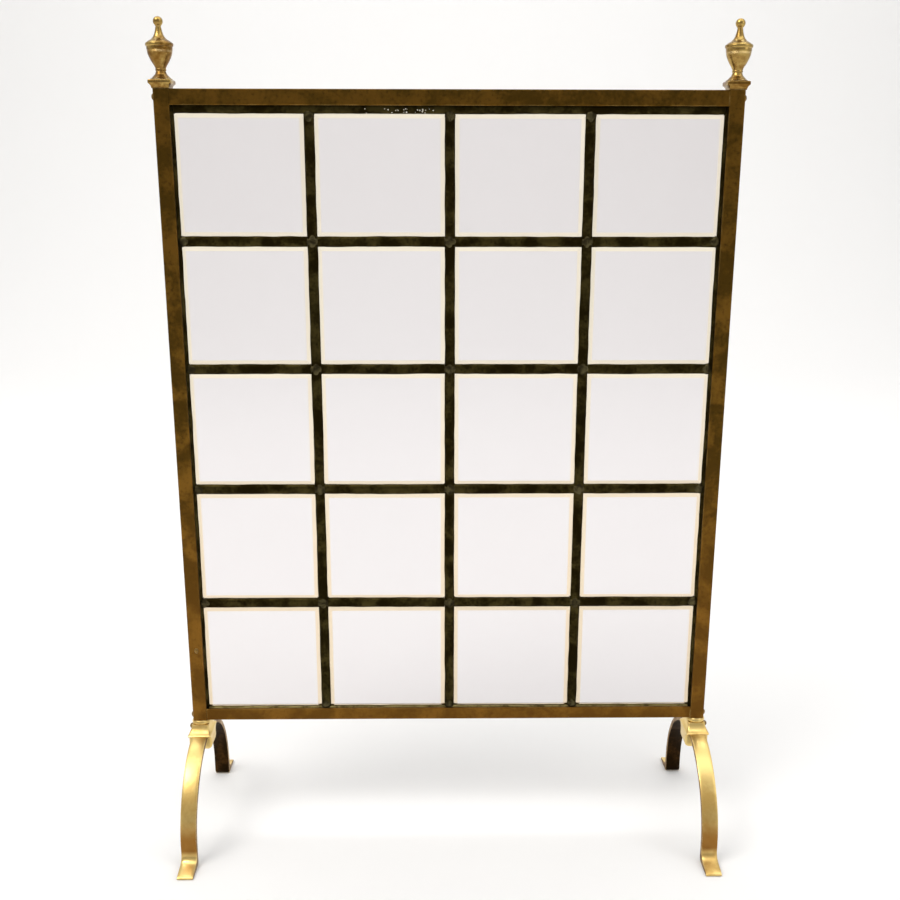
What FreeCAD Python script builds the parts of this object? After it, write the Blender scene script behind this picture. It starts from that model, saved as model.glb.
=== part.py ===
import FreeCAD, Part
import math
import os

# A free-standing fire screen: a leaded panel of bevelled panes held in the slots of a square brass
# frame.  Turned urns cap the two posts, and each post stands on a collar, a flared hub and an
# arched strap foot.  Millimetres, +Z up, X across the screen, -Y its front.  The origin is on the
# floor, in the middle of the screen, and Y=0 is the middle plane of the posts.

# ---- driving dimensions ----------------------------------------------------------------------
STOCK = 12.7                 # side of the square frame tube
WALL = 1.6                   # its wall, and the rails' wall
SLOT_HALF = 4.2              # half width of the slot that takes the border came
POST_X = 231.55              # post centre line
POST_BOTTOM = 104.0
POST_TOP = 662.6
EDGE_ROUND = 0.8

RAIL_DEPTH = 12.1            # the rails are a little shallower than the posts
TOP_RAIL_HEIGHT = 12.7
BOTTOM_RAIL_BOTTOM = 104.5
BOTTOM_RAIL_HEIGHT = 11.0

CAME_WIDTH = 8.6             # across the leaf
HEART = 1.6                  # web between the leaves
LEAF_GAP = 2.55              # half the gap that the glass sits in
LEAF_EDGE = 3.3              # half depth at the leaf's edge
LEAF_CROWN = 3.8             # half depth on the came's centre line

COLUMNS = 4
ROWS = 5
PANE_PITCH_X = 114.3
ROW_CAME_Z = [542.0, 434.5, 327.0, 219.5]
BORDER_X = 227.3             # heart of the side border cames
BORDER_TOP_Z = 647.95        # heart of the top border came
PANEL_BOTTOM = 110.0
BOTTOM_SIGHT = 116.5
BOTTOM_HEART_TOP = 111.4

GLASS = 5.0
GLASS_EDGE = 2.6             # thickness left at the bevelled edge
BEVEL = 6.5                  # width of the bevel across the face
GLASS_CLEARANCE = 0.4

SOLDER_RADIUS = 6.6
SOLDER_TOP = 4.45            # half depth at the top of a joint's blob
SOLDER_EDGE = 3.25
SOLDER_FRAME_GAP = 0.2

FOOT_RADIUS = 78.0           # outer radius of the arch
FOOT_CENTRE_Z = 15.5
STRAP_THICKNESS = 5.0
STRAP_WIDTH = 14.2
TOE_TIP = 97.5

HUB_TOP = 100.0
HUB_BOTTOM = 75.0
HUB_NECK = 7.8               # half width of the neck
HUB_HALF = 10.5              # half width of the block
SADDLE_REACH = 15.0          # how far the hub spreads along the strap, each way
SADDLE_LIP = 92.6            # height of the saddle's end, just above the strap
COLLAR_RADIUS = 8.5

FINIAL_STUD_RADIUS = 2.0
FINIAL_STUD_TOP = 682.0
FOOT_STUD_RADIUS = 2.5
FOOT_STUD_BOTTOM = 78.0
PLUG_LENGTH = 12.0

SCREW_HEAD_RADIUS = 3.3
SCREW_HEAD_HEIGHT = 2.5
SCREW_SLOT = 0.9
TOP_SCREW_Z = 656.5
TOP_SHANK_RADIUS = 1.5
BOTTOM_SCREW_Z = 107.9
BOTTOM_SHANK_RADIUS = 1.3
HUB_SCREW_Z = 95.8
HUB_SCREW_HEAD_RADIUS = 2.7
HUB_SCREW_SEAT = 8.7         # from the post's centre line to the head's seat

# ---- places that follow from them ------------------------------------------------------------
half_stock = STOCK / 2
post_inner = POST_X - half_stock
post_outer = POST_X + half_stock
top_rail_bottom = POST_TOP - TOP_RAIL_HEIGHT
bottom_rail_top = BOTTOM_RAIL_BOTTOM + BOTTOM_RAIL_HEIGHT
half_came = CAME_WIDTH / 2
half_heart = HEART / 2
side_sight = BORDER_X - half_came
top_sight = BORDER_TOP_Z - half_came
panel_top = BORDER_TOP_Z + half_came
column_came_x = [PANE_PITCH_X * (i + 1 - COLUMNS / 2) for i in range(COLUMNS - 1)]

X_AXIS = FreeCAD.Vector(1, 0, 0)
Y_AXIS = FreeCAD.Vector(0, 1, 0)
Z_AXIS = FreeCAD.Vector(0, 0, 1)
ORIGIN = FreeCAD.Vector(0, 0, 0)


# ---- helpers ---------------------------------------------------------------------------------
def save(name, *solids):
    """Write one node; several solids become one group."""
    shape = solids[0] if len(solids) == 1 else Part.makeCompound(list(solids))
    shape.exportStep(f"parts/{name}.step")


def block(x, y, z):
    """A box from three (low, high) pairs."""
    return Part.makeBox(x[1] - x[0], y[1] - y[0], z[1] - z[0], FreeCAD.Vector(x[0], y[0], z[0]))


def across(shape):
    """The same shape on the other side of the screen."""
    return shape.mirror(ORIGIN, X_AXIS)


def save_pair(name, left):
    """Write left_NAME and its mirror image right_NAME."""
    save(f"left_{name}", left)
    save(f"right_{name}", across(left))


def rod_z(radius, low, high, x=0.0):
    return Part.makeCylinder(radius, high - low, FreeCAD.Vector(x, 0, low), Z_AXIS)


def rod_x(radius, low, high, z):
    return Part.makeCylinder(radius, high - low, FreeCAD.Vector(low, 0, z), X_AXIS)


def wire_of(pieces):
    """Join runs of (r, z) points: two points are a line, three an arc, more a smooth curve."""
    edges = []
    for points in pieces:
        at = [FreeCAD.Vector(r, 0, z) for r, z in points]
        if len(at) == 2:
            edges.append(Part.LineSegment(*at).toShape())
        elif len(at) == 3:
            edges.append(Part.Arc(*at).toShape())
        else:
            curve = Part.BSplineCurve()
            curve.interpolate(at)
            edges.append(curve.toShape())
    return Part.Wire(edges)


def turned(pieces):
    """Turn a closed (r, z) outline about Z."""
    return Part.Face(wire_of(pieces)).revolve(ORIGIN, Z_AXIS, 360)


def moulded_slab(pieces):
    """A slab through Y whose section is the half outline (half width, z) and its mirror image."""
    mirrored = [[(-r, z) for r, z in points] for points in pieces]
    top = pieces[0][0]
    bottom = pieces[-1][-1]
    outline = pieces + mirrored + [[(-top[0], top[1]), top], [(-bottom[0], bottom[1]), bottom]]
    face = Part.Face(Part.Wire(Part.__sortEdges__(wire_edges(outline))))
    reach = 60.0
    slab = face.extrude(FreeCAD.Vector(0, reach, 0))
    slab.translate(FreeCAD.Vector(0, -reach / 2, 0))
    return slab


def squared(across_x, across_y=None):
    """A block that follows one half outline seen along Y, and another seen along X."""
    seen_along_y = moulded_slab(across_x)
    seen_along_x = moulded_slab(across_y or across_x)
    seen_along_x.rotate(ORIGIN, Z_AXIS, 90)
    return seen_along_y.common(seen_along_x)


def wire_edges(pieces):
    return [edge for points in pieces for edge in wire_of([points]).Edges]


# ---- frame -----------------------------------------------------------------------------------
def post():
    """Left post: a square tube, slotted on its inner side, drilled for two cross screws."""
    tube = block((-post_outer, -post_inner), (-half_stock, half_stock), (POST_BOTTOM, POST_TOP))
    upright = [e for e in tube.Edges if abs(e.Vertexes[0].Z - e.Vertexes[1].Z) > STOCK]
    tube = tube.makeFillet(EDGE_ROUND, upright)
    bore = half_stock - WALL
    hollow = block((-POST_X - bore, -POST_X + bore), (-bore, bore), (POST_BOTTOM, POST_TOP))
    slot = block((-POST_X, -post_inner), (-SLOT_HALF, SLOT_HALF),
                 (PANEL_BOTTOM - GLASS_CLEARANCE, panel_top + GLASS_CLEARANCE))
    top_hole = rod_x(TOP_SHANK_RADIUS, -post_outer, -post_inner, TOP_SCREW_Z)
    bottom_hole = rod_x(BOTTOM_SHANK_RADIUS, -post_outer, -post_inner, BOTTOM_SCREW_Z)
    return tube.cut([hollow, slot, top_hole, bottom_hole])


def rail(low, high, slot_low, slot_high):
    """A rail between the posts, with its slot in the wall that faces the panel."""
    half = RAIL_DEPTH / 2
    span = (-post_inner, post_inner)
    tube = block(span, (-half, half), (low, high))
    lengthwise = [e for e in tube.Edges if abs(e.Vertexes[0].X - e.Vertexes[1].X) > STOCK]
    tube = tube.makeFillet(EDGE_ROUND, lengthwise)
    hollow = block(span, (-half + WALL, half - WALL), (low + WALL, high - WALL))
    slot = block(span, (-SLOT_HALF, SLOT_HALF), (slot_low, slot_high))
    return tube.cut([hollow, slot])


def rail_plugs(low, high, shank_radius, screw_z):
    """The blocks inside a rail's two ends that its screws bite into."""
    half = RAIL_DEPTH / 2 - WALL
    left = block((-post_inner, -post_inner + PLUG_LENGTH), (-half, half), (low, high))
    left = left.cut(rod_x(shank_radius, -post_inner, -post_inner + PLUG_LENGTH, screw_z))
    return left, across(left)


def post_plug(low, high, hole):
    """A square block inside the left post's end, threaded for a stud."""
    bore = half_stock - WALL
    plug = block((-POST_X - bore, -POST_X + bore), (-bore, bore), (low, high))
    return plug.cut(hole)


def screw(seat_x, tip_x, z, shank_radius, head_radius=SCREW_HEAD_RADIUS):
    """A domed, slotted screw on the left side, its head outwards (towards -X)."""
    dome_mid = (head_radius * math.sin(math.radians(50)), SCREW_HEAD_HEIGHT * math.cos(math.radians(52)))
    shape = turned([[(0, SCREW_HEAD_HEIGHT), dome_mid, (head_radius, 0)],
                    [(head_radius, 0), (shank_radius, 0)],
                    [(shank_radius, 0), (shank_radius, seat_x - tip_x)],
                    [(shank_radius, seat_x - tip_x), (0, seat_x - tip_x)],
                    [(0, seat_x - tip_x), (0, SCREW_HEAD_HEIGHT)]])
    cut_depth = SCREW_HEAD_HEIGHT * 0.55
    shape = shape.cut(block((-head_radius, head_radius), (-SCREW_SLOT / 2, SCREW_SLOT / 2),
                            (cut_depth, SCREW_HEAD_HEIGHT + 1)))
    shape.rotate(ORIGIN, Y_AXIS, -90)
    shape.translate(FreeCAD.Vector(seat_x, 0, z))
    return shape


# ---- finials ---------------------------------------------------------------------------------
def finial_plinth():
    """The moulded square block between a post and its urn."""
    shape = squared([[(7.1, POST_TOP), (7.1, POST_TOP + 0.7)],
                     [(7.1, POST_TOP + 0.7), (7.75, POST_TOP + 2.4), (9.25, POST_TOP + 4.0)],
                     [(9.25, POST_TOP + 4.0), (9.25, POST_TOP + 6.7)]])
    shape.translate(FreeCAD.Vector(-POST_X, 0, 0))
    return shape.cut(rod_z(FINIAL_STUD_RADIUS, POST_TOP, POST_TOP + 6.7, -POST_X))


def finial_urn():
    """The turned urn: spreading foot, thin stem, bowl, rim, tall lid and ball."""
    base = POST_TOP + 6.7
    ball_radius = 3.85
    ball_z = POST_TOP + 50.8
    neck = 2.05
    ball_start = ball_z - math.sqrt(ball_radius ** 2 - neck ** 2)
    shape = turned([
        [(FINIAL_STUD_RADIUS, base), (8.9, base)],
        [(8.9, base), (8.9, base + 0.7)],
        [(8.9, base + 0.7), (6.6, base + 2.6), (4.7, base + 4.5), (3.76, base + 6.9)],
        [(3.76, base + 6.9), (4.07, base + 8.3)],
        [(4.07, base + 8.3), (5.0, base + 10.7), (7.1, base + 14.1), (8.9, base + 17.9),
         (9.9, base + 21.3), (10.3, base + 25.1)],
        [(10.3, base + 25.1), (10.7, base + 25.6)],
        [(10.7, base + 25.6), (11.0, base + 26.7), (10.9, base + 28.0)],
        [(10.9, base + 28.0), (9.4, base + 29.0)],
        [(9.4, base + 29.0), (6.1, base + 30.9), (4.1, base + 33.3), (2.9, base + 36.6),
         (neck, ball_start)],
        [(neck, ball_start), (ball_radius, ball_z), (0, ball_z + ball_radius)],
        [(0, ball_z + ball_radius), (0, FINIAL_STUD_TOP)],
        [(0, FINIAL_STUD_TOP), (FINIAL_STUD_RADIUS, FINIAL_STUD_TOP)],
        [(FINIAL_STUD_RADIUS, FINIAL_STUD_TOP), (FINIAL_STUD_RADIUS, base)]])
    shape.translate(FreeCAD.Vector(-POST_X, 0, 0))
    return shape


# ---- feet ------------------------------------------------------------------------------------
def foot_arch():
    """One flat strap bent to a half circle, with both ends turned out as toes."""
    inner = FOOT_RADIUS - STRAP_THICKNESS
    half = [[(0, FOOT_CENTRE_Z + FOOT_RADIUS),
             (FOOT_RADIUS * math.sin(math.pi / 4), FOOT_CENTRE_Z + FOOT_RADIUS * math.cos(math.pi / 4)),
             (FOOT_RADIUS, FOOT_CENTRE_Z)],
            [(FOOT_RADIUS, FOOT_CENTRE_Z), (FOOT_RADIUS, 12.0)],
            [(FOOT_RADIUS, 12.0), (80.3, 7.0), (86.0, 4.8)],
            [(86.0, 4.8), (TOE_TIP - 1.2, 2.6)],
            [(TOE_TIP - 1.2, 2.6), (TOE_TIP, 1.2), (TOE_TIP - 1.0, 0)],
            [(TOE_TIP - 1.0, 0), (77.0, 0)],
            [(77.0, 0), (74.2, 1.2), (inner, 4.0)],
            [(inner, 4.0), (inner, FOOT_CENTRE_Z)],
            [(inner, FOOT_CENTRE_Z),
             (inner * math.sin(math.pi / 4), FOOT_CENTRE_Z + inner * math.cos(math.pi / 4)),
             (0, FOOT_CENTRE_Z + inner)]]
    other = [[(-r, z) for r, z in points] for points in half]
    outline = Part.Wire(Part.__sortEdges__(wire_edges(half + other)))
    strap = Part.Face(outline).extrude(FreeCAD.Vector(0, STRAP_WIDTH, 0))
    strap.rotate(ORIGIN, Z_AXIS, 90)
    strap.translate(FreeCAD.Vector(-POST_X + STRAP_WIDTH / 2, 0, 0))
    return strap


def hub(strap, stud, screw_shape):
    """A saddle that spreads along the strap, with a block below that the strap passes through."""
    neck_end = HUB_TOP - 1.0
    neck = [(HUB_NECK, HUB_TOP), (HUB_NECK, neck_end)]
    block_top = (HUB_HALF, HUB_TOP - 6.2)
    side = (HUB_HALF, HUB_BOTTOM + 5.0)
    round_bottom = [side, (9.4, HUB_BOTTOM + 1.4), (6.4, HUB_BOTTOM)]
    across_x = [neck, [(HUB_NECK, neck_end), (8.5, HUB_TOP - 4.4), block_top], [block_top, side], round_bottom]
    lip = (SADDLE_REACH, SADDLE_LIP)
    lip_bottom = (SADDLE_REACH, SADDLE_LIP - 1.4)
    under_lip = (HUB_HALF, SADDLE_LIP - 4.2)
    across_y = [neck, [(HUB_NECK, neck_end), (9.7, HUB_TOP - 4.6), lip], [lip, lip_bottom],
                [lip_bottom, under_lip], [under_lip, side], round_bottom]
    shape = squared(across_x, across_y)
    shape.translate(FreeCAD.Vector(-POST_X, 0, 0))
    seat = rod_x(HUB_SCREW_HEAD_RADIUS, -POST_X - 20, -POST_X - HUB_SCREW_SEAT, HUB_SCREW_Z)
    return shape.cut([strap, stud, seat, screw_shape])


def collar():
    """The round bead between a hub and its post."""
    shape = rod_z(COLLAR_RADIUS, HUB_TOP, POST_BOTTOM, -POST_X)
    rims = [e for e in shape.Edges if isinstance(e.Curve, Part.Circle)]
    shape = shape.makeFillet(1.3, rims)
    return shape.cut(rod_z(FOOT_STUD_RADIUS, HUB_TOP, POST_BOTTOM, -POST_X))


# ---- leaded panel ----------------------------------------------------------------------------
def came_section(low, high, heart_low, heart_high):
    """H section in the plane of X and Y: two crowned leaves joined by the heart."""
    middle = (low + high) / 2

    def leaf(side):
        corners = [FreeCAD.Vector(low, side * LEAF_GAP, 0), FreeCAD.Vector(high, side * LEAF_GAP, 0),
                   FreeCAD.Vector(high, side * LEAF_EDGE, 0), FreeCAD.Vector(low, side * LEAF_EDGE, 0)]
        crown = Part.Arc(corners[2], FreeCAD.Vector(middle, side * LEAF_CROWN, 0), corners[3]).toShape()
        lines = [Part.LineSegment(corners[a], corners[b]).toShape() for a, b in ((3, 0), (0, 1), (1, 2))]
        return Part.Face(Part.Wire(Part.__sortEdges__(lines + [crown])))

    web = Part.Face(Part.makePolygon([FreeCAD.Vector(heart_low, -LEAF_GAP, 0),
                                      FreeCAD.Vector(heart_high, -LEAF_GAP, 0),
                                      FreeCAD.Vector(heart_high, LEAF_GAP, 0),
                                      FreeCAD.Vector(heart_low, LEAF_GAP, 0),
                                      FreeCAD.Vector(heart_low, -LEAF_GAP, 0)]))
    return leaf(-1), web, leaf(1)


def came(length, low=-half_came, high=half_came, heart_low=-half_heart, heart_high=half_heart):
    """A straight came standing on Z=0, its leaf running from low to high in X."""
    solids = [face.extrude(FreeCAD.Vector(0, 0, length))
              for face in came_section(low, high, heart_low, heart_high)]
    return solids[0].fuse(solids[1:]).removeSplitter()


def upright_came(x, low, high):
    shape = came(high - low)
    shape.translate(FreeCAD.Vector(x, 0, low))
    return shape


def level_came(z, left, right, **section):
    shape = came(right - left, **section)
    shape.rotate(ORIGIN, Y_AXIS, 90)
    shape.translate(FreeCAD.Vector(left, 0, z))
    return shape


def pane(x, z):
    """A plate whose front is bevelled along all four edges; x and z are (low, high)."""
    front = -GLASS / 2
    edge_front = GLASS / 2 - GLASS_EDGE

    def rectangle(inset, y):
        corners = [(x[0] + inset, z[0] + inset), (x[1] - inset, z[0] + inset),
                   (x[1] - inset, z[1] - inset), (x[0] + inset, z[1] - inset)]
        points = [FreeCAD.Vector(a, y, b) for a, b in corners]
        return Part.makePolygon(points + points[:1])

    slope = Part.makeLoft([rectangle(BEVEL, front), rectangle(0, edge_front)], True, True)
    plate = block(x, (edge_front, GLASS / 2), z)
    return slope.fuse(plate).removeSplitter()


def solder_blob(x, z, cames, room):
    """A low dome of solder on the front of a joint, lying on the cames and clear of the frame."""
    shape = turned([[(0, SOLDER_TOP), (SOLDER_RADIUS * 0.62, SOLDER_TOP - 0.42), (SOLDER_RADIUS, SOLDER_EDGE)],
                    [(SOLDER_RADIUS, SOLDER_EDGE), (SOLDER_RADIUS, LEAF_GAP + 0.3)],
                    [(SOLDER_RADIUS, LEAF_GAP + 0.3), (0, LEAF_GAP + 0.3)],
                    [(0, LEAF_GAP + 0.3), (0, SOLDER_TOP)]])
    shape.rotate(ORIGIN, X_AXIS, 90)
    shape.translate(FreeCAD.Vector(x, 0, z))
    near = [c for c in cames if c.BoundBox.intersect(shape.BoundBox)]
    return shape.cut(near).common(room).Solids


# ---- build -----------------------------------------------------------------------------------
os.makedirs("parts", exist_ok=True)

save_pair("post", post())
save("top_rail", rail(top_rail_bottom, POST_TOP, top_rail_bottom, top_rail_bottom + WALL))
save("bottom_rail", rail(BOTTOM_RAIL_BOTTOM, bottom_rail_top, bottom_rail_top - WALL, bottom_rail_top))

top_plug_low = panel_top + GLASS_CLEARANCE
save("top_rail_plugs", *rail_plugs(top_plug_low, POST_TOP - WALL, TOP_SHANK_RADIUS, TOP_SCREW_Z))
bottom_plug_high = PANEL_BOTTOM - GLASS_CLEARANCE
save("bottom_rail_plugs", *rail_plugs(BOTTOM_RAIL_BOTTOM + WALL, bottom_plug_high,
                                      BOTTOM_SHANK_RADIUS, BOTTOM_SCREW_Z))

finial_stud_low = TOP_SCREW_Z + TOP_SHANK_RADIUS + 0.6
finial_stud = rod_z(FINIAL_STUD_RADIUS, finial_stud_low, FINIAL_STUD_TOP, -POST_X)
save_pair("finial_stud", finial_stud)
top_plug = post_plug(finial_stud_low, POST_TOP, finial_stud)
save("post_top_plugs", top_plug, across(top_plug))
save_pair("finial_plinth", finial_plinth())
save_pair("finial_urn", finial_urn())

screw_end = -post_inner + PLUG_LENGTH
top_screw = screw(-post_outer, screw_end, TOP_SCREW_Z, TOP_SHANK_RADIUS)
save("top_rail_screws", top_screw, across(top_screw))
bottom_screw = screw(-post_outer, screw_end, BOTTOM_SCREW_Z, BOTTOM_SHANK_RADIUS)
save("bottom_rail_screws", bottom_screw, across(bottom_screw))
hub_screw = screw(-POST_X - HUB_SCREW_SEAT, -POST_X - FOOT_STUD_RADIUS, HUB_SCREW_Z,
                  BOTTOM_SHANK_RADIUS, HUB_SCREW_HEAD_RADIUS)
save("hub_screws", hub_screw, across(hub_screw))

foot_stud_top = BOTTOM_SCREW_Z - BOTTOM_SHANK_RADIUS - 0.4
foot_stud = rod_z(FOOT_STUD_RADIUS, FOOT_STUD_BOTTOM, foot_stud_top, -POST_X)
save_pair("foot_stud", foot_stud)
bottom_plug = post_plug(POST_BOTTOM, bottom_plug_high, [foot_stud, bottom_screw])
save("post_bottom_plugs", bottom_plug, across(bottom_plug))
strap = foot_arch()
save_pair("foot_arch", strap.cut(foot_stud))
save_pair("hub", hub(strap, foot_stud, hub_screw))
save_pair("collar", collar())

left_border = upright_came(-BORDER_X, PANEL_BOTTOM, panel_top)
right_border = upright_came(BORDER_X, PANEL_BOTTOM, panel_top)
top_border = level_came(BORDER_TOP_Z, -side_sight, side_sight)
bottom_height = BOTTOM_SIGHT - PANEL_BOTTOM
bottom_border = level_came(PANEL_BOTTOM, -side_sight, side_sight, low=-bottom_height, high=0,
                           heart_low=PANEL_BOTTOM - BOTTOM_HEART_TOP, heart_high=0)
save("came_border_left", left_border)
save("came_border_right", right_border)
save("came_border_top", top_border)
save("came_border_bottom", bottom_border)

cames = [left_border, right_border, top_border, bottom_border]
for number, x in enumerate(column_came_x, 1):
    upright = upright_came(x, BOTTOM_SIGHT, top_sight)
    save(f"came_column_{number}", upright)
    cames.append(upright)

came_ends = [-side_sight] + [x + s for x in column_came_x for s in (-half_came, half_came)] + [side_sight]
for number, z in enumerate(ROW_CAME_Z, 1):
    lengths = [level_came(z, came_ends[i], came_ends[i + 1]) for i in range(0, len(came_ends), 2)]
    save(f"came_row_{number}", *lengths)
    cames.extend(lengths)

keep_off = half_heart + GLASS_CLEARANCE
pane_edges_x = [-BORDER_X] + column_came_x + [BORDER_X]
pane_edges_z = [BORDER_TOP_Z] + ROW_CAME_Z + [BOTTOM_HEART_TOP - half_heart]
for row in range(ROWS):
    for column in range(COLUMNS):
        x = (pane_edges_x[column] + keep_off, pane_edges_x[column + 1] - keep_off)
        z = (pane_edges_z[row + 1] + keep_off, pane_edges_z[row] - keep_off)
        save(f"pane_r{row + 1}_c{column + 1}", pane(x, z))

room = block((-post_inner + SOLDER_FRAME_GAP, post_inner - SOLDER_FRAME_GAP), (-half_stock, 0),
             (bottom_rail_top + SOLDER_FRAME_GAP, top_rail_bottom - SOLDER_FRAME_GAP))
joints = [(x, z) for x in column_came_x for z in ROW_CAME_Z + [top_sight, BOTTOM_SIGHT]]
joints += [(s * side_sight, z) for s in (-1, 1) for z in ROW_CAME_Z + [top_sight, BOTTOM_SIGHT]]
front_solder = [solid for x, z in joints for solid in solder_blob(x, z, cames, room)]
save("solder_front", *front_solder)
save("solder_back", *[solid.mirror(ORIGIN, Y_AXIS) for solid in front_solder])
print("nodes", len(os.listdir("parts")), "solder solids", len(front_solder))
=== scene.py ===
# %% [markdown]
# # A leaded fire screen on strap feet
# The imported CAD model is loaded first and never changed.  It gives every place and size, so each
# piece made here takes its position from a CAD node's box instead of from a typed number.  Metres
# throughout: +Z is up, X runs along the screen and -Y is its front.

# %% Load the frame
import math
import random
import bmesh
import bpy
from mathutils import Matrix, Vector, noise


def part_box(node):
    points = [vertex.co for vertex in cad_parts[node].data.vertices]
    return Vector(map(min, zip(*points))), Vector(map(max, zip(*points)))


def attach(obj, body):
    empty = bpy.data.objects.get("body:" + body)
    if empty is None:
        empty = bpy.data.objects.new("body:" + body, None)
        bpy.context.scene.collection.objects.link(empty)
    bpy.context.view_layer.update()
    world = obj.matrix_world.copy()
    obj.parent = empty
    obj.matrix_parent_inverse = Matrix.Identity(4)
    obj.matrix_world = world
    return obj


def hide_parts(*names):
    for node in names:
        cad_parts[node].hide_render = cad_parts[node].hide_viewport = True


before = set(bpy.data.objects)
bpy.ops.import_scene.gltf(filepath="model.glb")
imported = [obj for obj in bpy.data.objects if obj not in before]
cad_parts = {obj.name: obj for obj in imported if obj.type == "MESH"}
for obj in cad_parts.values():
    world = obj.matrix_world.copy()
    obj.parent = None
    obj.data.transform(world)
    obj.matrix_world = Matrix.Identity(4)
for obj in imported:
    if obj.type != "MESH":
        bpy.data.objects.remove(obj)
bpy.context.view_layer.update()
MM = 0.001


# %% Sizes read from the CAD nodes
def span(node, axis):
    """Lowest and highest coordinate of a CAD node along one axis (0, 1 or 2)."""
    low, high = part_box(node)
    return low[axis], high[axis]


def middle(node, axis):
    low, high = span(node, axis)
    return (low + high) / 2


post_x = middle("right_post", 0)
came_half = (span("came_column_2", 0)[1] - span("came_column_2", 0)[0]) / 2
crown = span("came_column_2", 1)[1]
columns_x = [middle(f"came_column_{i}", 0) for i in (1, 2, 3)]
rows_z = [middle(f"came_row_{i}", 2) for i in (1, 2, 3, 4)]
side_sight = span("came_border_right", 0)[0]
top_sight = span("came_border_top", 2)[0]
bottom_sight = span("came_border_bottom", 2)[1]
print("post centre", round(post_x, 4), "came half width", round(came_half, 4))


# %% [markdown]
# ## Meshes from rings
# Nearly every piece here is a run of closed rings: a came is one section repeated along its length,
# an urn is circles of changing radius, a strap is a rounded bar whose section follows a bend.  So one
# helper skins a list of rings and caps both ends.  Extruding a curve object would be shorter, but
# rings give control of every station, and that is where old hand work shows.

# %% Skin a list of rings
def skin(rings, capped=True):
    """Vertices and faces of a tube through rings of equal length."""
    count = len(rings[0])
    verts = [tuple(p) for ring in rings for p in ring]
    faces = []
    for i in range(len(rings) - 1):
        for j in range(count):
            a, b = i * count + j, i * count + (j + 1) % count
            faces.append((a, b, b + count, a + count))
    if capped:
        faces.append(tuple(reversed(range(count))))
        faces.append(tuple(range((len(rings) - 1) * count, len(rings) * count)))
    return verts, faces


def gather(shells):
    """Join several (verts, faces) shells into one."""
    verts, faces = [], []
    for shell_verts, shell_faces in shells:
        start = len(verts)
        verts += shell_verts
        faces += [tuple(start + i for i in face) for face in shell_faces]
    return verts, faces


def make_piece(name, shell, material, nodes=(), crease_deg=38.0):
    """A mesh object that rides on the frame and stands for the given CAD nodes."""
    mesh = bpy.data.meshes.new(name)
    mesh.from_pydata([tuple(v) for v in shell[0]], [], shell[1])
    mesh.validate()
    outward(mesh)
    piece = bpy.data.objects.new(name, mesh)
    bpy.context.scene.collection.objects.link(piece)
    mesh.polygons.foreach_set("use_smooth", [True] * len(mesh.polygons))
    mesh.set_sharp_from_angle(angle=math.radians(crease_deg))
    mesh.materials.append(material)
    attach(piece, "root")
    if nodes:
        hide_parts(*nodes)
    print(name, len(mesh.vertices), "vertices")
    return piece


def outward(mesh):
    """Turn every face to look out of its shell."""
    bm = bmesh.new()
    bm.from_mesh(mesh)
    bmesh.ops.recalc_face_normals(bm, faces=bm.faces)
    bm.to_mesh(mesh)
    bm.free()


# %% [markdown]
# ## Shared wear effects and painted shade
# Old brass and lead are never one colour.  Four effects make most of what the eye reads as age: cloudy
# patches of tarnish, edges rubbed bright by hands and cloths, darkening in corners that is painted shade
# with some dirt in it, and the fine lines that drawing or polishing leaves.  Each one is a node group with
# named inputs, built once, and each metal below places the groups with values of its own.  They give only
# masks and heights.

# %% Node helpers
def new_group(name, inputs, outputs):
    """A shader node group; inputs are (name, kind, default), outputs are (name, kind)."""
    tree = bpy.data.node_groups.new(name, "ShaderNodeTree")
    for label, kind, default in inputs:
        socket = tree.interface.new_socket(name=label, in_out="INPUT", socket_type=kind)
        socket.default_value = default
    for label, kind in outputs:
        tree.interface.new_socket(name=label, in_out="OUTPUT", socket_type=kind)
    return tree, tree.nodes.new("NodeGroupInput"), tree.nodes.new("NodeGroupOutput")


def math_node(tree, operation, first, second=None, clamp=False):
    """One Math node; an argument is a socket or a number.  Returns its output."""
    node = tree.nodes.new("ShaderNodeMath")
    node.operation = operation
    node.use_clamp = clamp
    for index, value in enumerate((first, second)):
        if hasattr(value, "is_output"):
            tree.links.new(value, node.inputs[index])
        elif value is not None:
            node.inputs[index].default_value = value
    return node.outputs[0]


def ramp(tree, source, low, high):
    """Stretch the part of a value between low and high to 0..1, with soft ends."""
    node = tree.nodes.new("ShaderNodeMapRange")
    node.interpolation_type = "SMOOTHSTEP"
    node.inputs["From Min"].default_value = low
    node.inputs["From Max"].default_value = high
    tree.links.new(source, node.inputs["Value"])
    return node.outputs["Result"]


def blend_colour(tree, mask, first, second):
    """Mix two colours by a mask; each colour is a socket or an (r, g, b)."""
    node = tree.nodes.new("ShaderNodeMix")
    node.data_type = "RGBA"
    tree.links.new(mask, node.inputs["Factor"])
    for socket, value in ((node.inputs[6], first), (node.inputs[7], second)):
        if hasattr(value, "is_output"):
            tree.links.new(value, socket)
        else:
            socket.default_value = (*value, 1.0)
    return node.outputs[2]


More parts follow.
